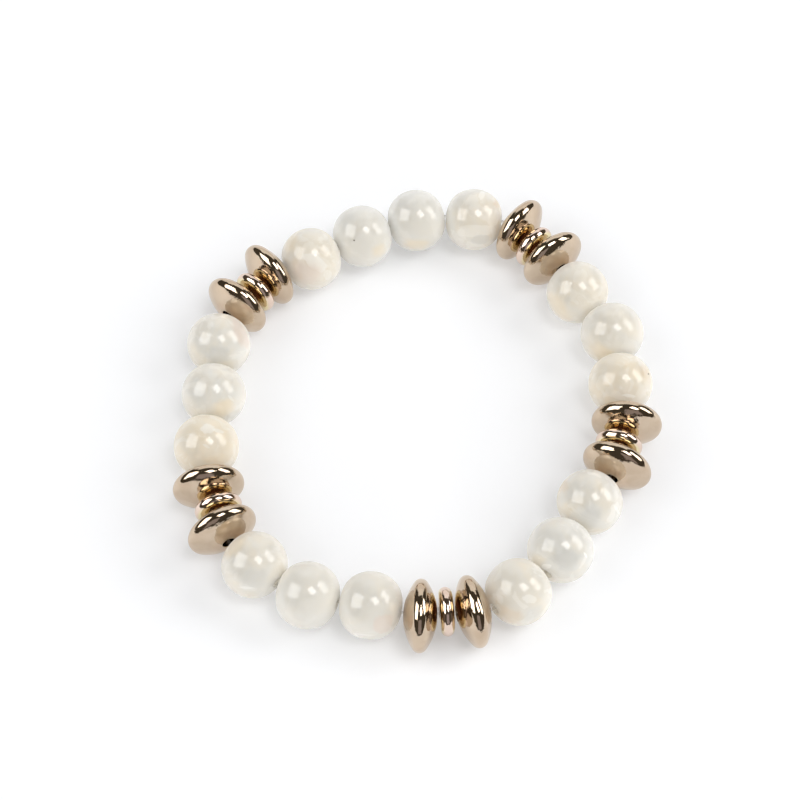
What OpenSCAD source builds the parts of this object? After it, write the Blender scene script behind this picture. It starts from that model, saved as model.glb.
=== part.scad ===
// Stretch bracelet lying flat on a table: round drilled stones in five runs, a metal
// spacer of two saucers and a rondelle between the runs, all on one elastic cord.
// Millimetres, +Z up, origin under the middle of the loop on the table.

/* [Stone beads] */
// Diameter of a stone bead across its hole
bead_d = 10; // [8:0.1:10.4]
// Length of a stone bead along its hole
bead_len = 9.25; // [8.75:0.05:9.4]
// Radius of the shallow dome at each drilled end
bead_end_r = 7; // [6:0.5:9]
// Diameter of the hole through a stone bead
bead_hole_d = 1.7; // [1.7:0.1:2]

/* [Metal saucers] */
// Diameter of a saucer
saucer_d = 10.9; // [10:0.1:11.2]
// Thickness of a saucer at its middle
saucer_t = 5.2; // [4.7:0.1:5.4]
// Radius of a saucer's rounded rim
saucer_rim_r = 1.2; // [0.9:0.1:1.5]
// Diameter of the hole through a saucer
saucer_hole_d = 2; // [2:0.1:2.8]

/* [Metal rondelles] */
// Diameter of the rondelle between two saucers
rondelle_d = 7.3; // [6.6:0.1:8]
// Thickness of a rondelle at its middle
rondelle_t = 2.2; // [2.1:0.1:2.4]
// Radius of a rondelle's rounded rim
rondelle_rim_r = 1; // [0.6:0.1:1]
// Diameter of the hole through a rondelle
rondelle_hole_d = 1.6; // [1.5:0.1:2]
// How far a rondelle is drawn in towards the wrist from its saucers' middles
rondelle_in = 0.45; // [0:0.05:0.5]

/* [Elastic cord] */
// Thickness of the elastic cord
cord_d = 0.5; // [0.4:0.05:0.5]
// Sides of the cord's section
cord_sides = 8; // [8:1:12]

/* [Spacing] */
// Clear space left between each piece and the next one on the cord
string_gap = 0.12; // [0.12:0.01:0.2]

/* [Hidden] */
$fn = 72;
bore_fn = 48;

// How the loop lies, clockwise from the upper left. Each row is the kind of a piece, the
// heading of the way from its middle to the middle of the next piece, and the heading of
// its own hole, in degrees from +X.
KIND = 0;
WAY = 1;
HOLE = 2;
lay = [
    ["bead", 29, 28],
    ["bead", 20, 25],
    ["bead", 1, 14],
    ["bead", -18, -6],
    ["saucer", -48, -39],
    ["saucer", -59, -57],
    ["bead", -57, -50],
    ["bead", -85, -71],
    ["bead", -86, -91],
    ["saucer", -104, -98],
    ["saucer", -126, -113],
    ["bead", -120, -128],
    ["bead", -133, -120],
    ["bead", -153, -141],
    ["saucer", -175, -166],
    ["saucer", -195, -182],
    ["bead", -190, -191],
    ["bead", -212, -197],
    ["bead", -228, -220],
    ["saucer", -252, -243],
    ["saucer", -264, -259],
    ["bead", -274, -270],
    ["bead", -272, -274],
    ["bead", -290, -278],
    ["saucer", -309, -305],
    ["saucer", -333, -318]
];
piece_count = len(lay);
function following(i) = (i + 1) % piece_count;
function is_bead(i) = lay[i][KIND] == "bead";
function heading(i) = lay[i][HOLE];

// Radius of the broad arc on each face of a lens that meets its rim arc without a crease.
function face_radius(d, t, rim_r) =
    let (rim_at = d / 2 - rim_r, half_t = t / 2)
    (rim_at * rim_at + half_t * half_t - rim_r * rim_r) / (2 * (half_t - rim_r));

// Both ends of a piece are domes. Along a heading at some angle from its hole, a piece
// reaches as far as the dome does there.
function dome_r(i) = is_bead(i) ? bead_end_r : face_radius(saucer_d, saucer_t, saucer_rim_r);
function half_length(i) = is_bead(i) ? bead_len / 2 : saucer_t / 2;
function reach_along(i, way) =
    dome_r(i) - (dome_r(i) - half_length(i)) * cos(heading(i) - way);

// The way on from a piece leaves the gap open. Two saucers have a rondelle between them.
function pitch(i) =
    let (j = following(i), way = lay[i][WAY])
    reach_along(i, way) + reach_along(j, way) + string_gap
    + (is_bead(i) || is_bead(j) ? 0 : rondelle_t + string_gap);
function unit(a) = [cos(a), sin(a)];
function running(steps, n) = n == 0 ? [0, 0] : running(steps, n - 1) + steps[n - 1];

// Whole degrees leave the loop a hair open, so each step takes its share of that.
raw_steps = [for (i = [0 : piece_count - 1]) pitch(i) * unit(lay[i][WAY])];
open_end = running(raw_steps, piece_count);
steps = [for (s = raw_steps) s - open_end / piece_count];
spots = [for (i = [0 : piece_count - 1]) running(steps, i)];

// Half of a piece's reach along X or Y, seen from above.
function reach(i) =
    let (half_len = saucer_t / 2, half_d = saucer_d / 2, a = heading(i))
    is_bead(i) ? [bead_d / 2, bead_d / 2]
    : [norm([half_len * cos(a), half_d * sin(a)]), norm([half_len * sin(a), half_d * cos(a)])];
function low(axis) = min([for (i = [0 : piece_count - 1]) spots[i][axis] - reach(i)[axis]]);
function high(axis) = max([for (i = [0 : piece_count - 1]) spots[i][axis] + reach(i)[axis]]);
middle = [low(0) + high(0), low(1) + high(1)] / 2;

// Where each piece rests on the table, by its own radius.
function rest_z(i) = is_bead(i) ? bead_d / 2 : saucer_d / 2;
function centre(i) = [spots[i][0] - middle[0], spots[i][1] - middle[1], rest_z(i)];

bead_at = [for (i = [0 : piece_count - 1]) if (is_bead(i)) i];
saucer_at = [for (i = [0 : piece_count - 1]) if (!is_bead(i)) i];
// The first saucer of each pair has its rondelle behind it.
pair_at = [for (i = saucer_at) if (!is_bead(following(i))) i];

// A rondelle hangs on the cord between its saucers, a little nearer the wrist.
function inward(a) = unit(a - 90);
rondelle_z = (bead_d + saucer_d) / 4;
function rondelle_centre(i) =
    let (mid = (centre(i) + centre(following(i))) / 2, aside = rondelle_in * inward(lay[i][WAY]))
    [mid[0] + aside[0], mid[1] + aside[1], rondelle_z];

// The cord runs from joint to joint. A joint lies between the mouths of two neighbouring
// holes, nearer to the one that holds the cord more tightly. Each row of strung is a
// piece's middle, the heading of its hole, half its length, and how tightly it holds.
bead_hold = 1;
saucer_hold = 0.8;
rondelle_hold = 1;
strung = [
    for (i = [0 : piece_count - 1])
        each concat(
            [
                [centre(i), heading(i), half_length(i), is_bead(i) ? bead_hold : saucer_hold]
            ],
            !is_bead(i) && !is_bead(following(i))
                ? [[rondelle_centre(i), lay[i][WAY], rondelle_t / 2, rondelle_hold]]
                : []
        )
];
function mouth(row, side) =
    let (along = side * row[2] * unit(row[1])) row[0] + [along[0], along[1], 0];
function joint(a, b) = (a[3] * mouth(a, 1) + b[3] * mouth(b, -1)) / (a[3] + b[3]);
strung_count = len(strung);
joints = [
    for (k = [0 : strung_count - 1])
        joint(strung[k], strung[(k + 1) % strung_count])
];

// Names of the pieces, such as bead_01.
function two_digits(n) = n < 10 ? str("0", n) : str(n);
function name_of(kind, n) = str(kind, "_", two_digits(n + 1));

stone_white = [0.86, 0.83, 0.76];
pale_gold = [0.80, 0.70, 0.56];
cord_clear = [0.90, 0.90, 0.88];

// Turns a piece made round the Z axis so that its hole points along the string.
module laid(place, a) {
    translate(place)
        rotate([0, 90, a])
            children();
}

module bore(d, length) {
    cylinder(h = length, d = d, center = true, $fn = bore_fn);
}

// A ball whose two drilled ends are cut to shallow domes.
module bead(i) {
    color(stone_white)
        laid(centre(i), heading(i))
            difference() {
                intersection() {
                    sphere(d = bead_d);
                    translate([0, 0, bead_len / 2 - bead_end_r])
                        sphere(r = bead_end_r);
                    translate([0, 0, bead_end_r - bead_len / 2])
                        sphere(r = bead_end_r);
                }
                bore(bead_hole_d, 2 * bead_len);
            }
}

// Half section of a lens: two broad arcs meet a small rim arc without a crease.
module lens_section(d, t, rim_r, bore_d) {
    rim_at = d / 2 - rim_r;
    face_r = face_radius(d, t, rim_r);
    face_at = face_r - t / 2;
    meet = rim_at + rim_r * rim_at / (face_r - rim_r);
    difference() {
        union() {
            intersection() {
                translate([0, -face_at])
                    circle(r = face_r, $fn = 4 * $fn);
                translate([0, face_at])
                    circle(r = face_r, $fn = 4 * $fn);
                translate([0, -t])
                    square([meet, 2 * t]);
            }
            translate([rim_at, 0])
                circle(r = rim_r);
        }
        translate([-d, -t])
            square([d + bore_d / 2, 2 * t]);
    }
}

module saucer(i) {
    color(pale_gold)
        laid(centre(i), heading(i))
            rotate_extrude()
                lens_section(saucer_d, saucer_t, saucer_rim_r, saucer_hole_d);
}

module rondelle(i) {
    color(pale_gold)
        laid(rondelle_centre(i), lay[i][WAY])
            rotate_extrude()
                lens_section(rondelle_d, rondelle_t, rondelle_rim_r, rondelle_hole_d);
}

// One ring of the cord's skin round joint k, mitred between the two stretches it joins.
function cord_ring(k) =
    let (
        here = joints[k],
        back = joints[(k + strung_count - 1) % strung_count],
        next = joints[(k + 1) % strung_count],
        a = (here - back) / norm(here - back),
        b = (next - here) / norm(next - here),
        along = (a + b) / norm(a + b),
        side = cross([0, 0, 1], along) / norm(cross([0, 0, 1], along)),
        up = cross(along, side)
    )
    [
        for (s = [0 : cord_sides - 1])
            let (t = 360 * (s + 0.5) / cord_sides)
            here + cord_d / 2 * (cos(t) * side + sin(t) * up)
    ];

module elastic_cord() {
    skin = [for (k = [0 : strung_count - 1]) each cord_ring(k)];
    total = len(skin);
    quads = [
        for (k = [0 : strung_count - 1], s = [0 : cord_sides - 1])
            let (t = (s + 1) % cord_sides, here = k * cord_sides, next = here + cord_sides)
            [here + s, here + t, (next + t) % total, (next + s) % total]
    ];
    color(cord_clear)
        polyhedron(points = skin, faces = quads, convexity = 6);
}

for (n = [0 : len(bead_at) - 1])
    bead(bead_at[n]);
for (n = [0 : len(saucer_at) - 1])
    saucer(saucer_at[n]);
for (n = [0 : len(pair_at) - 1])
    rondelle(pair_at[n]);
elastic_cord();
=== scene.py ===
import math

import bpy
import numpy as np
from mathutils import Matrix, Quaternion, Vector


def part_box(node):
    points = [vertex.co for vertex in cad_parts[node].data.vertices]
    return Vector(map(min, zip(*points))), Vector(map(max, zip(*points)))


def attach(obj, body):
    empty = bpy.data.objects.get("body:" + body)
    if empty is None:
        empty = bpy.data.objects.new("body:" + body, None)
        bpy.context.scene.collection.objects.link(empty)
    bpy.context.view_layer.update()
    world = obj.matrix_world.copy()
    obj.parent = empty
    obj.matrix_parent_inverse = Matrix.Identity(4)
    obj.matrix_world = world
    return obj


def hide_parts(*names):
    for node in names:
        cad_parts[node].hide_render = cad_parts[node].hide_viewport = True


# A stretch bracelet laid on a white table: milky stones, pale gold spacers, elastic.

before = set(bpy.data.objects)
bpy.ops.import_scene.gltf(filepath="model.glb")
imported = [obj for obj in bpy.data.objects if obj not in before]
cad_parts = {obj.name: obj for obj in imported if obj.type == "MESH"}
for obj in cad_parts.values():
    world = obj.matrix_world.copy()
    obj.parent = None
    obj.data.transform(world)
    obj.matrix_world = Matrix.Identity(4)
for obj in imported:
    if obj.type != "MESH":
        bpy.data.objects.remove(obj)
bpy.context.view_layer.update()        # every node of the bracelet, in metres
mm = 0.001
black = (0, 0, 0, 1)
scene = bpy.context.scene


# Building blocks of the materials

def plug(tree, made, inputs):
    # Fills a node's inputs. A value that is a socket is linked, any other is set.
    for key, value in inputs.items():
        if isinstance(value, bpy.types.NodeSocket):
            tree.links.new(value, made.inputs[key])
        else:
            made.inputs[key].default_value = value


def addNode(tree, kind, inputs=None, **settings):
    made = tree.nodes.new(kind)
    for key, value in settings.items():
        setattr(made, key, value)
    plug(tree, made, inputs or {})
    return made


def sums(tree, operation, a, b=0.0, c=0.0, clamp=False):
    inputs = {0: a, 1: b, 2: c}
    return addNode(tree, "ShaderNodeMath", inputs, operation=operation, use_clamp=clamp).outputs[0]


def stretch(tree, value, low, high, toLow=0.0, toHigh=1.0):
    # A smooth step from toLow at low to toHigh at high.
    inputs = {"Value": value, "From Min": low, "From Max": high, "To Min": toLow, "To Max": toHigh}
    return addNode(tree, "ShaderNodeMapRange", inputs, interpolation_type="SMOOTHSTEP").outputs[0]


def tint(tree, share, a, b):
    # a where share is 0, b where it is 1.
    return addNode(tree, "ShaderNodeMix", {0: share, 6: a, 7: b}, data_type="RGBA").outputs[2]


def noise(tree, place, scale, detail, **more):
    # Noise with scale turns to a unit of place, its other inputs given by name. With a
    # seed it is one slice of noise in four dimensions.
    inputs = {"Vector": place, "Scale": scale, "Detail": detail}
    seed = more.pop("seed", None)
    inputs.update((key.capitalize(), value) for key, value in more.items())
    if seed is None:
        return addNode(tree, "ShaderNodeTexNoise", inputs).outputs["Fac"]
    inputs["W"] = seed
    return addNode(tree, "ShaderNodeTexNoise", inputs, noise_dimensions="4D").outputs["Fac"]


def bumps(tree, height, strength, distance):
    inputs = {"Height": height, "Strength": strength, "Distance": distance}
    return addNode(tree, "ShaderNodeBump", inputs).outputs[0]


def objectPlace(tree):
    return addNode(tree, "ShaderNodeTexCoord").outputs["Object"]


def heldPlace(tree, centre):
    # Object coordinates in millimetres, from a piece's own middle.
    held = {"Vector": objectPlace(tree), "Location": centre, "Scale": (mm, mm, mm)}
    return addNode(tree, "ShaderNodeMapping", held, vector_type="TEXTURE").outputs[0]


def newGroup(name, inputs, outputs):
    # An empty node group whose inputs come with their usual values.
    tree = bpy.data.node_groups.new(name, "ShaderNodeTree")
    for title, (kind, usual) in inputs.items():
        socket = tree.interface.new_socket(name=title, in_out="INPUT", socket_type=kind)
        if usual is not None:
            socket.default_value = usual
    for title, kind in outputs.items():
        tree.interface.new_socket(name=title, in_out="OUTPUT", socket_type=kind)
    given, put = tree.nodes.new("NodeGroupInput"), tree.nodes.new("NodeGroupOutput")
    return tree, given.outputs, put.inputs


def newMaterial(name):
    material = bpy.data.materials.new(name)
    material.use_nodes = True
    tree = material.node_tree
    return material, tree, tree.nodes["Principled BSDF"]


# The camera, the lamps and the room

cameraValues = {
    "height": 58.85,            # degrees above the table
    "distance": 318.6 * mm,
    "aim": (-0.73 * mm, 0.91 * mm, 0),
    "focal": 2024,              # in pixels of the picture
    "axisX": 413.6,             # where the lens axis meets the picture
    "axisY": 419.5,
    "picture": 800,
    "sensor": 36,               # millimetres, the lens follows from it
}

lightValues = {
    "distance": 2.5,            # metres from the bracelet to each lamp
    "room": (0.072, 0.063, 0.049),      # what polished faces mirror where no lamp is
    "fill": (0.300, 0.302, 0.307),      # what falls on dull faces from all round
    "fillLow": 0.45,            # how strong the fill is from the horizon
    "fillHigh": 1.12,           # and from overhead
    "backdrop": (0.93, 0.93, 0.93),     # what the camera sees beyond the table
}

# Each lamp: bearing from the far side towards +X and height in degrees, width and
# depth as seen from a metre away, its roll about its own beam, how bright it looks in
# polished faces, how much it casts on dull ones, and its color in polished faces.
lampColumns = ("bearing", "height", "width", "depth", "roll", "glow", "cast", "color")
lamps = {
    "leftSoftBox": (-97, 43, 0.78, 0.74, -34, 3.9, 3.9, (1.00, 1.00, 0.97)),
    "rightSoftBox": (80, 34, 0.42, 0.72, -40, 4.1, 5.5, (1.00, 0.99, 0.96)),
    "topLamp": (124, 71, 0.35, 0.46, -12, 6.1, 6.6, (1.00, 0.99, 0.97)),
    "farScreenLow": (2, 12, 1.25, 0.52, 0, 0.9, 0.5, (1.00, 1.00, 1.00)),
    "farScreenHigh": (2, 39, 1.00, 0.45, 0, 1.0, 0.4, (1.00, 1.00, 1.00)),
    "nearWall": (175, 28, 0.70, 0.80, 0, 0.3, 2.8, (0.96, 0.88, 0.97)),
}


def placeCamera(v):
    lens = bpy.data.cameras.new("camera")
    lens.sensor_width = v["sensor"]
    lens.lens = v["focal"] / v["picture"] * lens.sensor_width
    lens.shift_x = (0.5 * v["picture"] - v["axisX"]) / v["picture"]
    lens.shift_y = (v["axisY"] - 0.5 * v["picture"]) / v["picture"]
    camera = bpy.data.objects.new("camera", lens)
    tilt = math.radians(v["height"])
    back = np.array((0, -math.cos(tilt), math.sin(tilt))) * v["distance"]
    camera.location = np.array(v["aim"]) + back
    camera.rotation_euler = (math.pi / 2 - tilt, 0, 0)
    scene.collection.objects.link(camera)
    scene.camera = camera


def placeLamp(name, lamp, v):
    # Two lights in one place: one seen in mirrors, one cast on dull faces.
    bearing, height = math.radians(lamp["bearing"]), math.radians(lamp["height"])
    flat = v["distance"] * math.cos(height)
    up = v["distance"] * math.sin(height)
    place = Vector((flat * math.sin(bearing), flat * math.cos(bearing), up))
    turn = place.to_track_quat("Z", "Y") @ Quaternion((0, 0, 1), math.radians(lamp["roll"]))
    for kind, hiddenFrom in (("glow", "visible_diffuse"), ("cast", "visible_glossy")):
        light = bpy.data.lights.new(name + "_" + kind, "AREA")
        light.shape = "RECTANGLE"
        light.size = lamp["width"] * v["distance"]
        light.size_y = lamp["depth"] * v["distance"]
        light.color = lamp["color"] if kind == "glow" else (1, 1, 1)
        light.energy = lamp[kind] * math.pi * light.size * light.size_y
        holder = bpy.data.objects.new(light.name, light)
        holder.location = place
        holder.rotation_mode = "QUATERNION"
        holder.rotation_quaternion = turn
        setattr(holder, hiddenFrom, False)
        scene.collection.objects.link(holder)


def lightRoom(v):
    # A dark room in mirrors, a soft fill on dull faces that is stronger from overhead,
    # and a pale backdrop beyond the table where the camera itself sees it.
    world = bpy.data.worlds.new("room")
    world.use_nodes = True
    tree = world.node_tree
    tree.nodes.clear()
    way = addNode(tree, "ShaderNodeTexCoord").outputs["Generated"]
    upward = addNode(tree, "ShaderNodeSeparateXYZ", {0: way}).outputs["Z"]
    ramp = {"Value": upward, "To Min": v["fillLow"], "To Max": v["fillHigh"]}
    strength = addNode(tree, "ShaderNodeMapRange", ramp).outputs[0]
    room, fill, backdrop = (
        addNode(tree, "ShaderNodeBackground", {"Color": (*v[key], 1)})
        for key in ("room", "fill", "backdrop")
    )
    plug(tree, fill, {"Strength": strength})
    seen = addNode(tree, "ShaderNodeLightPath").outputs
    shown = room
    for ray, other in (("Is Diffuse Ray", fill), ("Is Camera Ray", backdrop)):
        either = {0: seen[ray], 1: shown.outputs[0], 2: other.outputs[0]}
        shown = addNode(tree, "ShaderNodeMixShader", either)
    addNode(tree, "ShaderNodeOutputWorld", {"Surface": shown.outputs[0]})
    scene.world = world
    scene.view_settings.view_transform = "Standard"


placeCamera(cameraValues)
for lampName, lampRow in lamps.items():
    placeLamp(lampName, dict(zip(lampColumns, lampRow)), lightValues)
lightRoom(lightValues)
print("camera, lamps and room are up")


# The stones

stoneValues = {
    "pressedIn": 0.075,         # of the radius, how far a drilled end is pressed in
    "mouthRound": 0.12 * mm,
    "hole": 0.85 * mm,          # its radius
    "around": 96,               # points round a stone
    "along": 72,                # and from one mouth to the other
    "glow": 7.0 * mm,           # how far light wanders inside the stone
    "glowShares": (1.0, 0.95, 0.85),    # and its red, green and blue, as shares of that
    "lit": 0.34,                # painted glow: the stones give off their own colour as light, to light them evenly
    "under": 0.60,              # how much of that painted glow is taken away on the underside, a painted shade
    "underRange": (-2.0, 3.0),          # heights from a stone's middle, in millimetres
    "polish": 0.005,
    "bend": 1.55,               # index of the polished skin
    "edge": 0.35,               # how much of the polish is left where a stone turns away
    "edgeRange": (0.45, 0.90),          # where that sets in and is complete
    "wave": 0.05,               # unevenness of the polish
    "waveDepth": 0.4 * mm,
}

tones = {
    "grey": (0.555, 0.545, 0.512, 1),
    "cream": (0.605, 0.540, 0.435, 1),
    "white": (0.690, 0.670, 0.625, 1),
    "blush": (0.575, 0.505, 0.445, 1),
    "rust": (0.510, 0.405, 0.285, 1),
    "shade": (0.480, 0.472, 0.445, 1),
    "speck": (0.060, 0.045, 0.030, 1),
}

# How each stone differs: warmth from grey to cream, how cloudy and how lined it is,
# and the seed of its own pattern.
stoneLooks = {
    "bead_01": {"warmth": 0.45, "cloud": 0.5, "line": 0.3, "seed": 1.0},
    "bead_02": {"warmth": 0.10, "cloud": 0.2, "line": 0.0, "seed": 2.0},
    "bead_03": {"warmth": 0.10, "cloud": 0.2, "line": 0.0, "seed": 3.0},
    "bead_04": {"warmth": 0.40, "cloud": 0.5, "line": 0.2, "seed": 4.0},
    "bead_05": {"warmth": 0.50, "cloud": 0.4, "line": 0.2, "seed": 5.0},
    "bead_06": {"warmth": 0.35, "cloud": 0.3, "line": 0.1, "seed": 6.0},
    "bead_07": {"warmth": 0.85, "cloud": 0.5, "line": 0.2, "seed": 7.0},
    "bead_08": {"warmth": 0.45, "cloud": 0.6, "line": 0.4, "seed": 8.0},
    "bead_09": {"warmth": 0.35, "cloud": 0.6, "line": 0.4, "seed": 9.0},
    "bead_10": {"warmth": 0.65, "cloud": 0.6, "line": 0.3, "seed": 10.0},
    "bead_11": {"warmth": 0.35, "cloud": 0.3, "line": 0.1, "seed": 11.0},
    "bead_12": {"warmth": 0.25, "cloud": 0.2, "line": 0.0, "seed": 12.0},
    "bead_13": {"warmth": 0.40, "cloud": 0.4, "line": 0.2, "seed": 13.0},
    "bead_14": {"warmth": 0.95, "cloud": 0.5, "line": 0.4, "seed": 14.0},
    "bead_15": {"warmth": 0.30, "cloud": 0.5, "line": 0.4, "seed": 15.0},
    "bead_16": {"warmth": 0.35, "cloud": 0.5, "line": 0.3, "seed": 16.0},
}

# Marks that stand out on single stones. Right and up are millimetres from the stone's
# middle as the photograph shows it, wide and tall half the mark's size, turn its lean
# in degrees, share its strength and soft the width of its edge.
markColumns = ("tone", "right", "up", "wide", "tall", "turn", "share", "soft")
marks = {
    "bead_01": [
        ("white", 0.9, -0.9, 2.3, 1.0, -35, 0.65, 0.09),
        ("white", 2.8, -2.8, 0.6, 0.8, -20, 0.35, 0.12),
        ("blush", -1.0, -2.6, 2.6, 2.0, 0, 0.75, 0.5),
        ("cream", -3.2, 2.2, 1.6, 1.4, 40, 0.9, 0.6),
    ],
    "bead_02": [
        ("speck", -1.2, -1.1, 0.16, 0.11, -30, 0.8, 0.18),
        ("cream", 2.8, -2.6, 1.2, 1.0, 40, 0.75, 0.6),
    ],
    "bead_03": [
        ("cream", 0.0, -4.2, 2.4, 0.9, 0, 0.9, 0.6),
    ],
    "bead_04": [
        ("white", -0.2, -2.2, 3.8, 0.9, 3, 0.4, 0.12),
        ("shade", 1.0, -3.5, 1.6, 0.8, 5, 0.4, 0.15),
        ("rust", 3.7, 2.4, 0.6, 0.7, 0, 0.6, 0.6),
        ("white", 1.2, 3.7, 0.5, 1.0, -10, 0.5, 0.18),
    ],
    "bead_05": [
        ("cream", -3.4, -2.6, 1.3, 3.0, 35, 0.95, 0.4),
        ("shade", -1.9, -1.4, 0.5, 0.6, 0, 0.35, 0.6),
    ],
    "bead_06": [
        ("cream", -2.0, -3.2, 2.6, 1.6, -30, 0.95, 0.5),
    ],
    "bead_07": [
        ("white", 0.9, -1.9, 1.1, 0.25, -8, 0.75, 0.18),
        ("rust", 3.4, 1.9, 0.7, 1.0, 20, 0.45, 0.6),
        ("speck", 4.1, 1.5, 0.12, 0.1, 0, 0.8, 0.18),
    ],
    "bead_08": [
        ("shade", -0.4, -2.0, 1.6, 1.9, -20, 0.75, 0.5),
        ("white", 2.9, 1.6, 1.1, 1.4, 30, 0.25, 0.09),
        ("rust", -4.1, 2.6, 0.9, 1.1, 20, 0.5, 0.6),
        ("white", 3.8, -1.0, 0.2, 1.1, 35, 0.5, 0.18),
    ],
    "bead_09": [
        ("shade", 0.6, -1.1, 2.0, 1.6, -20, 0.8, 0.4),
        ("white", -2.4, -2.2, 0.8, 0.4, 10, 0.75, 0.18),
        ("white", 3.4, -0.5, 0.15, 0.5, 30, 0.95, 0.18),
    ],
    "bead_10": [
        ("rust", -1.6, -3.2, 2.0, 1.6, -10, 0.45, 0.4),
        ("white", 1.4, -0.6, 1.1, 0.6, -15, 0.5, 0.12),
        ("white", -2.9, -0.7, 0.5, 0.7, 20, 0.4, 0.18),
        ("shade", 2.0, -2.8, 1.6, 1.2, 30, 0.5, 0.5),
    ],
    "bead_11": [
        # A painted rim light: a thin pale crescent along the stone's bottom edge.
        ("white", -1.1, -4.0, 1.5, 0.14, -4, 0.55, 0.4),
        ("blush", 2.0, -2.4, 1.5, 1.7, 0, 0.75, 0.18),
    ],
    "bead_13": [
        ("shade", 0.4, -1.6, 2.2, 1.5, 0, 0.6, 0.5),
        ("white", -0.9, -3.1, 1.1, 0.2, -3, 0.6, 0.4),
        ("cream", -2.6, 3.0, 2.0, 1.2, 40, 0.95, 0.5),
    ],
    "bead_14": [
        ("white", 0.6, 2.7, 1.1, 0.7, -10, 0.5, 0.12),
        ("white", 2.2, 2.4, 0.9, 0.25, -18, 0.55, 0.18),
        ("white", 0.5, 0.1, 0.6, 0.2, -30, 0.45, 0.18),
    ],
    "bead_15": [
        ("cream", 2.0, -2.0, 1.7, 1.3, 30, 0.95, 0.5),
        ("white", 3.0, -0.6, 0.2, 0.6, 40, 0.45, 0.18),
    ],
    "bead_16": [
        ("blush", 3.8, 1.6, 1.0, 2.6, 25, 0.9, 0.4),
        ("shade", 0.1, -1.8, 1.9, 1.4, 10, 0.7, 0.4),
    ],
}


milkyValues = {
    "cloudScale": 0.13,         # turns of the noise to a millimetre
    "cloudBend": 0.8,
    "cloudRange": (0.38, 0.64),         # noise that is all grey and all cream
    "sheetScale": 0.22,
    "sheetBend": 1.6,
    "sheetRange": (0.54, 0.58),         # narrow, so that a sheet has a clear edge
    "sheetShare": 0.55,
    "lineLevel": 0.50,          # a line is where the sheet's noise passes this
    "lineRange": (0.002, 0.009),
    "lineCloud": (0.48, 0.56),          # clouds that are thick enough for lines
    "lineShare": 0.9,
}

markValues = {
    "seenFrom": 58.85,          # degrees above the table, the photograph's own angle
    "grainScale": 1.1,
    "ragged": 1.1,              # how far the grain shifts a mark's edge
    "depth": 2.0,               # half a mark's size into the stone, in millimetres
    "radius": 5.0,              # how far from a stone's middle a mark lies
}


def milkyGroup(tone, v):
    # Clear grey stone with cream clouds, paler patches and short fine healed lines.
    inputs = {
        "Place": ("NodeSocketVector", None),
        "Warmth": ("NodeSocketFloat", 0.5),
        "Cloud": ("NodeSocketFloat", 0.5),
        "Line": ("NodeSocketFloat", 0.5),
        "Seed": ("NodeSocketFloat", 0.0),
    }
    outputs = {"Color": "NodeSocketColor", "Height": "NodeSocketFloat"}
    tree, given, put = newGroup("milkyStone", inputs, outputs)
    place, seed = given["Place"], given["Seed"]
    cloud = noise(tree, place, v["cloudScale"], detail=3.0, distortion=v["cloudBend"], seed=seed)
    cloudRise = stretch(tree, cloud, *v["cloudRange"], toLow=-0.5, toHigh=0.5)
    cloudShare = sums(tree, "MULTIPLY", cloudRise, given["Cloud"])
    warmShare = sums(tree, "ADD", cloudShare, given["Warmth"], clamp=True)
    color = tint(tree, warmShare, tone["grey"], tone["cream"])

    # Paler patches have clear edges where thin sheets of cloud end inside the stone.
    sheet = noise(tree, place, v["sheetScale"], detail=2.0, distortion=v["sheetBend"], seed=seed)
    sheetShare = sums(tree, "MULTIPLY", stretch(tree, sheet, *v["sheetRange"]), given["Cloud"])
    color = tint(tree, sums(tree, "MULTIPLY", sheetShare, v["sheetShare"]), color, tone["white"])

    # A line is where the sheet's own noise passes one level, shown only in cloudy parts.
    level = sums(tree, "ABSOLUTE", sums(tree, "SUBTRACT", sheet, v["lineLevel"]))
    thin = stretch(tree, level, *v["lineRange"], toLow=1.0, toHigh=0.0)
    line = sums(tree, "MULTIPLY", thin, stretch(tree, cloud, *v["lineCloud"]))
    lineShare = sums(tree, "MULTIPLY", sums(tree, "MULTIPLY", line, given["Line"]), v["lineShare"])
    tree.links.new(tint(tree, lineShare, color, tone["white"]), put["Color"])
    tree.links.new(cloud, put["Height"])
    return tree


def markGroup(v):
    # A ragged spot: 1 within its own reach of its middle and 0 outside.
    inputs = {
        "Place": ("NodeSocketVector", None),
        "Middle": ("NodeSocketVector", None),
        "Turn": ("NodeSocketVector", None),
        "Reach": ("NodeSocketVector", None),
        "Soft": ("NodeSocketFloat", 0.3),
        "Share": ("NodeSocketFloat", 0.5),
    }
    tree, given, put = newGroup("markOnStone", inputs, {"Share": "NodeSocketFloat"})
    names = {"Vector": "Place", "Location": "Middle", "Rotation": "Turn", "Scale": "Reach"}
    held = {key: given[title] for key, title in names.items()}
    inside = addNode(tree, "ShaderNodeMapping", held, vector_type="TEXTURE").outputs[0]
    grain = noise(tree, inside, v["grainScale"], detail=3.0)
    away = addNode(tree, "ShaderNodeVectorMath", {0: inside}, operation="LENGTH").outputs["Value"]
    rough = sums(tree, "MULTIPLY_ADD", sums(tree, "SUBTRACT", grain, 0.5), v["ragged"], away)
    start = sums(tree, "SUBTRACT", 1.0, given["Soft"])
    end = sums(tree, "ADD", 1.0, given["Soft"])
    spot = stretch(tree, rough, start, end, toLow=1.0, toHigh=0.0)
    tree.links.new(sums(tree, "MULTIPLY", spot, given["Share"]), put["Share"])
    return tree


def markPlace(mark, v):
    # Where a mark is on the near side of a stone, and how its own axes are turned.
    lean = Quaternion((1, 0, 0), math.radians(90 - v["seenFrom"]))
    turn = lean @ Quaternion((0, 0, 1), math.radians(mark["turn"]))
    flat = Vector((mark["right"], mark["up"]))
    near = math.sqrt(max(v["radius"] ** 2 - flat.length_squared, 0))
    return tuple(lean @ Vector((flat[0], flat[1], near))), tuple(turn.to_euler("XYZ"))


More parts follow.
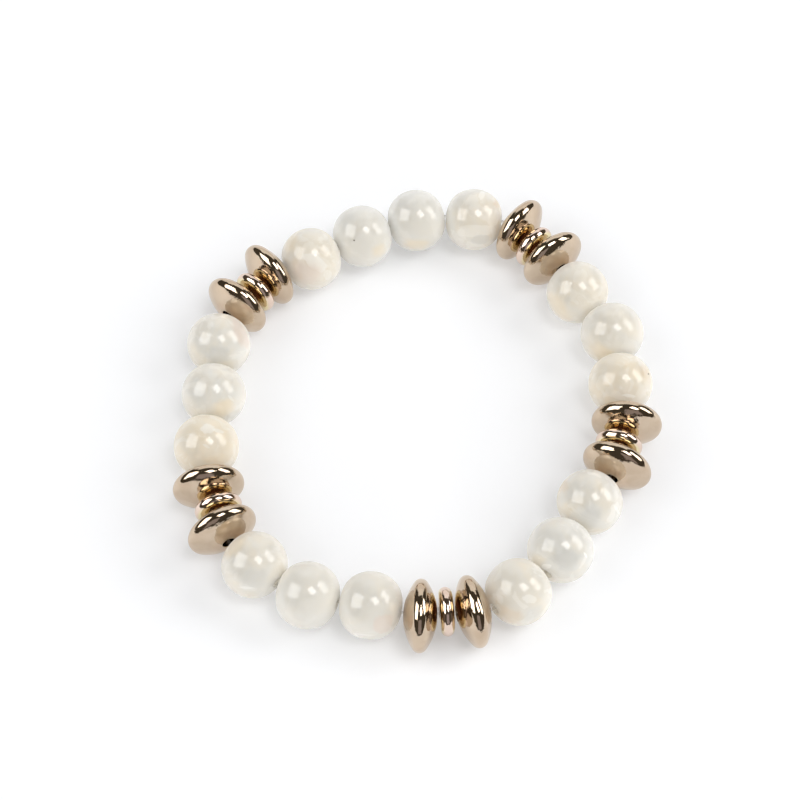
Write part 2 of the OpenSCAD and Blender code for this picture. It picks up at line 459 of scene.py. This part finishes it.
def stoneMaterial(name, groups, look, marked, centre, v):
    material, tree, shader = newMaterial(name + "_stone")
    place = heldPlace(tree, centre)
    inputs = {key.capitalize(): value for key, value in look.items()}
    milk = addNode(tree, "ShaderNodeGroup", {"Place": place, **inputs}, node_tree=groups["milky"])
    color = milk.outputs["Color"]
    for mark in marked:
        middle, turn = markPlace(mark, markValues)
        inputs = {
            "Place": place,
            "Middle": middle,
            "Turn": turn,
            "Reach": (mark["wide"], mark["tall"], markValues["depth"]),
            "Soft": mark["soft"],
            "Share": mark["share"],
        }
        spot = addNode(tree, "ShaderNodeGroup", inputs, node_tree=groups["mark"])
        color = tint(tree, spot.outputs["Share"], color, tones[mark["tone"]])

    # The painted glow fades towards the table as a painted shade on the underside, and less polish
    # shows where a stone turns away.
    rise = addNode(tree, "ShaderNodeSeparateXYZ", {0: place}).outputs["Z"]
    paintedUnderShade = stretch(tree, rise, *v["underRange"], toLow=v["under"], toHigh=0.0)
    away = addNode(tree, "ShaderNodeLayerWeight", {"Blend": 0.5}).outputs["Facing"]
    uneven = bumps(tree, milk.outputs["Height"], v["wave"], v["waveDepth"])
    plug(tree, shader, {
        "Base Color": color,
        # Painted glow: the stone's own colour given off as light, weaker on the underside as
        # painted shade.
        "Emission Color": tint(tree, paintedUnderShade, color, black),
        "Emission Strength": v["lit"],
        "Specular IOR Level": 0.0,
        "Subsurface Weight": 1.0,
        "Subsurface Radius": v["glowShares"],
        "Subsurface Scale": v["glow"],
        "Coat Weight": stretch(tree, away, *v["edgeRange"], toLow=1.0, toHigh=v["edge"]),
        "Coat Roughness": v["polish"],
        "Coat IOR": v["bend"],
        "Normal": uneven,
        "Coat Normal": uneven,
    })
    return material


# The metal

saucerValues = {
    "hole": 1.0 * mm,           # its radius
    "mouthRound": 0.08 * mm,
    "rim": 1.2 * mm,            # radius of its rounded rim
    "around": 128,
    "along": 80,
    "rub": 0.5,                 # how rubbed the plating is
    "rose": 0.0,                # how much yellow face and rosy rim it has
}

rondelleValues = {
    "hole": 0.8 * mm,
    "mouthRound": 0.12 * mm,
    "rim": 1.0 * mm,
    "around": 96,
    "along": 56,
    "rub": 0.6,
    "rose": 0.8,
}

goldValues = {
    "gold": (0.610, 0.495, 0.375, 1),
    "worn": (0.560, 0.440, 0.325, 1),
    "rose": (0.800, 0.640, 0.550, 1),
    "yellow": (0.820, 0.720, 0.430, 1),
    "paintedCreviceGlow": (0.022, 0.007, 0.003, 1),       # a faint warm painted glow where two polished faces meet, in place of light mirrored between them
    "polish": 0.05,             # roughness where it is bright
    "dull": 0.12,               # roughness where it is rubbed
    "cloudScale": 0.35,         # turns of the noise to a millimetre
    "cloudBend": 0.5,
    "cloudRange": (0.35, 0.70),
    "gritScale": 1.8,
    "gritRough": 0.65,
    "gritRange": (0.52, 0.72),
    "gritHeight": 0.12,         # how high the grit stands beside the clouds
    "rim": (0.86, 0.98),        # where the rosy rim sets in, as shares of the radius
    "glowBandFrom": (0.22, 0.30),           # the ring of painted glow near the hole between two pieces, as shares of the radius
    "glowBandTo": (0.34, 0.62),
    "wave": 0.30,               # unevenness of the plating
    "waveDepth": 0.3 * mm,
}


def goldGroup(v):
    # Polished plating: a cloudy change of tone, rubbed spots, and on the rondelles a rosy rim
    # round yellow faces. A ring near the hole gets a faint painted glow.
    inputs = {
        "Place": ("NodeSocketVector", None),
        "Rub": ("NodeSocketFloat", 0.5),
        "Rose": ("NodeSocketFloat", 0.0),
        "Rimward": ("NodeSocketFloat", 0.0),
    }
    outputs = {
        "Color": "NodeSocketColor",
        "Roughness": "NodeSocketFloat",
        "Height": "NodeSocketFloat",
        "PaintedCreviceGlow": "NodeSocketColor",
    }
    tree, given, put = newGroup("paleGold", inputs, outputs)
    cloud = noise(tree, given["Place"], v["cloudScale"], detail=3.0, distortion=v["cloudBend"])
    color = tint(tree, stretch(tree, cloud, *v["cloudRange"]), v["gold"], v["worn"])
    across = tint(tree, stretch(tree, given["Rimward"], *v["rim"]), v["yellow"], v["rose"])
    grit = noise(tree, given["Place"], v["gritScale"], detail=6.0, roughness=v["gritRough"])
    rub = sums(tree, "MULTIPLY", stretch(tree, grit, *v["gritRange"]), given["Rub"])
    # A faint painted glow in a ring near the hole, where two pieces meet, stands in for light
    # mirrored between them.
    glowBandStart = stretch(tree, given["Rimward"], *v["glowBandFrom"])
    glowBandEnd = stretch(tree, given["Rimward"], *v["glowBandTo"], toLow=1.0, toHigh=0.0)
    glowBand = sums(tree, "MULTIPLY", glowBandStart, glowBandEnd)
    tree.links.new(tint(tree, given["Rose"], color, across), put["Color"])
    roughness = stretch(tree, rub, 0.0, 1.0, toLow=v["polish"], toHigh=v["dull"])
    tree.links.new(roughness, put["Roughness"])
    tree.links.new(sums(tree, "MULTIPLY_ADD", grit, v["gritHeight"], cloud), put["Height"])
    tree.links.new(tint(tree, glowBand, black, v["paintedCreviceGlow"]), put["PaintedCreviceGlow"])
    return tree


def goldMaterial(name, group, piece, v):
    # The plating of one kind of piece, in object coordinates that count millimetres.
    material, tree, shader = newMaterial(name)
    inMm = {"Vector": objectPlace(tree), "Scale": (1 / mm, 1 / mm, 1 / mm)}
    inputs = {
        "Place": addNode(tree, "ShaderNodeMapping", inMm).outputs[0],
        "Rub": piece["rub"],
        "Rose": piece["rose"],
        "Rimward": addNode(tree, "ShaderNodeAttribute", attribute_name="rimward").outputs["Fac"],
    }
    plate = addNode(tree, "ShaderNodeGroup", inputs, node_tree=group).outputs
    plug(tree, shader, {
        "Base Color": plate["Color"],
        "Roughness": plate["Roughness"],
        "Metallic": 1.0,
        # The painted glow near the hole, though the plating is no lamp.
        "Emission Color": plate["PaintedCreviceGlow"],
        "Emission Strength": 1.0,
        "Normal": bumps(tree, plate["Height"], v["wave"], v["waveDepth"]),
    })
    return material


# The elastic

elasticValues = {
    "sides": 16,
    "cut": 0.5 * mm,            # how far from a joint its rounding begins
    "steps": 6,                 # points along each rounding
    "color": (0.93, 0.91, 0.87, 1),
    "roughness": 0.12,
    "clear": 0.9,
    "bend": 1.40,               # its index
    "ridges": 6.0,
    "ridgeBend": 0.4,
    "ridgeTone": 0.92,          # color on a ridge, as a share of the color beside it
    "ridgeWave": 0.3,
    "ridgeHeight": 0.02 * mm,
}


def elasticMaterial(v):
    # Clear elastic with fine ridges along its length.
    material, tree, shader = newMaterial("elastic")
    run = addNode(tree, "ShaderNodeUVMap", uv_map="along").outputs[0]
    wave = {"Vector": run, "Scale": v["ridges"], "Distortion": v["ridgeBend"]}
    ridges = addNode(tree, "ShaderNodeTexWave", wave).outputs["Fac"]
    onRidge = tuple(v["ridgeTone"] * c for c in v["color"][:3]) + (1,)
    plug(tree, shader, {
        "Base Color": tint(tree, ridges, v["color"], onRidge),
        "Roughness": v["roughness"],
        "Transmission Weight": v["clear"],
        "IOR": v["bend"],
        "Normal": bumps(tree, ridges, v["ridgeWave"], v["ridgeHeight"]),
    })
    return material


# Shapes

def ringPiece(name, points, material, node, uvName=None):
    # A grid of points (u, v) that closes on itself both ways, as a ring does, made a
    # mesh whose faces look out: they are turned about if the volume
    # sum(a . (b x c)) / 6 over its triangles comes out negative.
    rows, columns = points.shape[:2]
    at = np.arange(rows * columns).reshape(rows, columns)
    right, down = np.roll(at, -1, 1), np.roll(at, -1, 0)
    faces = np.stack([at, right, np.roll(right, -1, 0), down], -1).reshape(-1, 4)
    flat = points.reshape(-1, 3)
    a, b, c, d = (flat[faces[:, k]] for k in range(4))
    volume = (a * (np.cross(b, c) + np.cross(c, d))).sum()
    if volume < 0:
        faces = faces[:, ::-1]
    mesh = bpy.data.meshes.new(name)
    mesh.from_pydata(flat.tolist(), [], faces.tolist())
    mesh.shade_smooth()
    if uvName:
        # A UV map that counts rows along the ring and columns round it, over its seams too.
        corner = np.empty(len(mesh.loops), np.int32)
        mesh.loops.foreach_get("vertex_index", corner)
        down, across = corner.reshape(-1, 4) // columns, corner.reshape(-1, 4) % columns
        down = down + rows * (down < down.max(1, keepdims=True) - 1)
        across = across + columns * (across < across.max(1, keepdims=True) - 1)
        layer = mesh.uv_layers.new(name=uvName)
        layer.data.foreach_set("uv", np.stack([down / rows, across / columns], -1).ravel())
    mesh.materials.append(material)
    piece = bpy.data.objects.new(name, mesh)
    scene.collection.objects.link(piece)
    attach(piece, "root")
    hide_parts(node)
    return piece


def cornersOf(node):
    # Every corner of a node's own mesh, in metres.
    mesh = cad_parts[node].data
    places = np.empty(len(mesh.vertices) * 3)
    mesh.vertices.foreach_get("co", places)
    return places.reshape(-1, 3)


def middleOf(node):
    low, high = (np.array(corner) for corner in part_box(node))
    return (low + high) / 2


def radiusOf(node):
    low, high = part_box(node)
    return (high[2] - low[2]) / 2


def holeAxis(node):
    # A drilled round piece is alike all round its hole, so the hole runs along the odd
    # one of the skin's three second moments. Over triangles with corners v and area A:
    # M = sum(A / 12 * (sum(v v^T) + s s^T)), where s is the sum of the three corners.
    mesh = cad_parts[node].data
    mesh.calc_loop_triangles()
    corners = np.empty(len(mesh.loop_triangles) * 3, np.int32)
    mesh.loop_triangles.foreach_get("vertices", corners)
    v = cornersOf(node)[corners].reshape(-1, 3, 3) - middleOf(node)
    area = np.linalg.norm(np.cross(v[:, 1] - v[:, 0], v[:, 2] - v[:, 0]), axis=1) / 2
    s = v.sum(1)
    moments = np.einsum("n,nki,nkj->ij", area, v, v) + np.einsum("n,ni,nj->ij", area, s, s)
    sizes, ways = np.linalg.eigh(moments)
    odd = 0 if sizes[1] - sizes[0] > sizes[2] - sizes[1] else 2
    return ways[:, odd]


def drilled(outline, hole, mouthRound):
    # Closes an outline (along, radius), which runs from one mouth to the other, with the
    # wall of the hole. A mouth is a quarter round, with e the outline's end and q the
    # mouth's own radius: along = e - q (1 - cos(t)), radius = hole + q (1 - sin(t)).
    # The wall is straight between the two quarter rounds.
    lipSteps, wallSteps = 6, 12
    end = outline[-1, 0]
    t = np.linspace(0, math.pi / 2, lipSteps)
    inward = mouthRound * (1 - np.cos(t))
    lip = np.stack([end - inward, hole + mouthRound * (1 - np.sin(t))], -1)
    wallAlong = np.linspace(lip[-1, 0], -lip[-1, 0], wallSteps)
    wall = np.stack([wallAlong, np.full(wallSteps, hole)], -1)
    return np.concatenate([outline, lip[1:], wall[1:-1], lip[::-1][:-1] * (-1, 1)])


def turned(profile, centre, axis, around):
    # A profile (a, r) turned about its hole:
    # p(t, a) = centre + a axis + r (cos(t) side + sin(t) up), with t once round.
    up = np.array((0.0, 0.0, 1.0))
    side = np.cross(up, axis)
    t = np.linspace(0, 2 * math.pi, around, endpoint=False)[:, None, None]
    a, r = profile[None, :, 0, None], profile[None, :, 1, None]
    return centre + a * axis + r * (np.cos(t) * side + np.sin(t) * up)


def stoneProfile(radius, v):
    # A ball pressed in at its two drilled ends: with s the sine of the latitude,
    # along = radius s (1 - pressedIn s^4), and radius cos(latitude) from the hole's axis.
    brink = math.acos((v["hole"] + v["mouthRound"]) / radius)
    latitude = np.linspace(-brink, brink, v["along"])
    s = np.sin(latitude)
    outline = np.stack([radius * s * (1 - v["pressedIn"] * s ** 4), radius * np.cos(latitude)], -1)
    return drilled(outline, v["hole"], v["mouthRound"])


def lensProfile(radius, half, v):
    # A round lens: a broad arc on each face meets a rim arc of radius q without a crease.
    # The rim arc's middle stands c = radius - q from the hole's axis, and the broad arcs
    # have the radius f = (c^2 + half^2 - q^2) / (2 (half - q)), their middles f - half
    # beyond the lens's own. The arcs meet at the angle atan2(c, f - half).
    q = v["rim"]
    c = radius - q
    f = (c * c + half * half - q * q) / (2 * (half - q))
    meet = math.atan2(c, f - half)
    brink = math.asin((v["hole"] + v["mouthRound"]) / f)
    # A third of the points go to each broad arc and a fifth to each half of the rim.
    broad = np.linspace(brink, meet, v["along"] // 3, endpoint=False)
    edge = np.linspace(meet, math.pi / 2, v["along"] // 5)
    face = np.stack([f * np.cos(broad) - (f - half), f * np.sin(broad)], -1)
    rim = np.stack([q * np.cos(edge), c + q * np.sin(edge)], -1)
    front = np.concatenate([face, rim])[::-1]
    return drilled(np.concatenate([front[::-1] * (-1, 1), front[1:]]), v["hole"], v["mouthRound"])


def halfLength(node, axis):
    # Half of a lens's reach along its hole, from the farthest of its corners that way.
    return np.abs((cornersOf(node) - middleOf(node)) @ axis).max()


stoneGroups = {"milky": milkyGroup(tones, milkyValues), "mark": markGroup(markValues)}
gold = goldGroup(goldValues)
saucerGold = goldMaterial("saucer_gold", gold, saucerValues, goldValues)
rondelleGold = goldMaterial("rondelle_gold", gold, rondelleValues, goldValues)
nodes = sorted(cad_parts)

for node in (n for n in nodes if n.startswith("bead")):
    axis, centre = holeAxis(node), middleOf(node)
    marked = [dict(zip(markColumns, row)) for row in marks.get(node, ())]
    material = stoneMaterial(node, stoneGroups, stoneLooks[node], marked, centre, stoneValues)
    profile = stoneProfile(radiusOf(node), stoneValues)
    points = turned(profile, centre, axis, stoneValues["around"])
    ringPiece(node.replace("bead", "stone"), points, material, node)
print("stones are in place")

for node in (n for n in nodes if n.startswith(("saucer", "rondelle"))):
    v = saucerValues if node.startswith("saucer") else rondelleValues
    material = saucerGold if node.startswith("saucer") else rondelleGold
    axis, centre, radius = holeAxis(node), middleOf(node), radiusOf(node)
    profile = lensProfile(radius, halfLength(node, axis), v)
    points = turned(profile, centre, axis, v["around"])
    piece = ringPiece("gold_" + node, points, material, node)
    rimward = piece.data.attributes.new("rimward", "FLOAT", "POINT")
    rimward.data.foreach_set("value", np.tile(profile[:, 1] / radius, v["around"]))
print("saucers and rondelles are in place")


# The elastic runs through the joints of the frame's own cord

def cordJoints(node, sides=8):
    # The middles of the cord's rings, and its radius at the flats: its corners, once
    # each, taken in order round the loop, come in eights, and each eight is a ring.
    places = np.unique(np.round(cornersOf(node), 7), axis=0)
    order = np.argsort(np.arctan2(places[:, 1], places[:, 0]))
    rings = places[order].reshape(-1, sides, 3)
    middles = rings.mean(1)
    toCorners = np.linalg.norm(rings - middles[:, None], axis=2).mean()
    return middles, toCorners * math.cos(math.pi / sides)


def roundedPath(joints, v):
    # Straight runs whose corners are rounded by p(t) = (1 - t)^2 a + 2 t (1 - t) j + t^2 b,
    # where a and b lie a cut's length before and after the joint j.
    back = np.roll(joints, 1, 0) - joints
    on = np.roll(joints, -1, 0) - joints
    a = joints + v["cut"] * back / np.linalg.norm(back, axis=1, keepdims=True)
    b = joints + v["cut"] * on / np.linalg.norm(on, axis=1, keepdims=True)
    t = np.linspace(0, 1, v["steps"])[None, :, None]
    start, corner, end = a[:, None], joints[:, None], b[:, None]
    return ((1 - t) ** 2 * start + 2 * t * (1 - t) * corner + t ** 2 * end).reshape(-1, 3)


def tubeAlong(path, radius, sides):
    # A circle carried along the path: p(u, t) = path(u) + radius (cos(t) side + sin(t) up),
    # where side lies flat and square to the path and up is square to both.
    along = np.roll(path, -1, 0) - np.roll(path, 1, 0)
    along /= np.linalg.norm(along, axis=1, keepdims=True)
    side = np.cross((0, 0, 1), along)
    side /= np.linalg.norm(side, axis=1, keepdims=True)
    up = np.cross(along, side)
    t = np.linspace(0, 2 * math.pi, sides, endpoint=False)[None, :, None]
    return path[:, None] + radius * (np.cos(t) * side[:, None] + np.sin(t) * up[:, None])


joints, cordRadius = cordJoints("elastic_cord")
path = roundedPath(joints, elasticValues)
points = tubeAlong(path, cordRadius, elasticValues["sides"])
clear = elasticMaterial(elasticValues)
ringPiece("elastic", points, clear, "elastic_cord", uvName="along")
print("the elastic is threaded")


# The table

tableValues = {
    "half": 3.0,                # metres from its middle to its edges
    "color": (0.775, 0.780, 0.795, 1),
    "lit": 0.25,                # its own light, so that its shadows stay pale
    "litColor": (1, 1, 1, 1),
    "roughness": 0.55,
    "grain": 400.0,             # turns of the grain to a metre
    "grainWave": 0.02,
    "grainHeight": 0.1 * mm,
}


def layTable(v):
    material, tree, shader = newMaterial("table")
    grain = noise(tree, objectPlace(tree), v["grain"], detail=2.0)
    plug(tree, shader, {
        "Base Color": v["color"],
        "Roughness": v["roughness"],
        "Emission Color": v["litColor"],
        "Emission Strength": v["lit"],
        "Normal": bumps(tree, grain, v["grainWave"], v["grainHeight"]),
    })
    h = v["half"]
    mesh = bpy.data.meshes.new("table")
    mesh.from_pydata([(-h, -h, 0), (h, -h, 0), (h, h, 0), (-h, h, 0)], [], [(0, 1, 2, 3)])
    mesh.materials.append(material)
    table = bpy.data.objects.new("table", mesh)
    scene.collection.objects.link(table)


layTable(tableValues)
print("the table is laid")
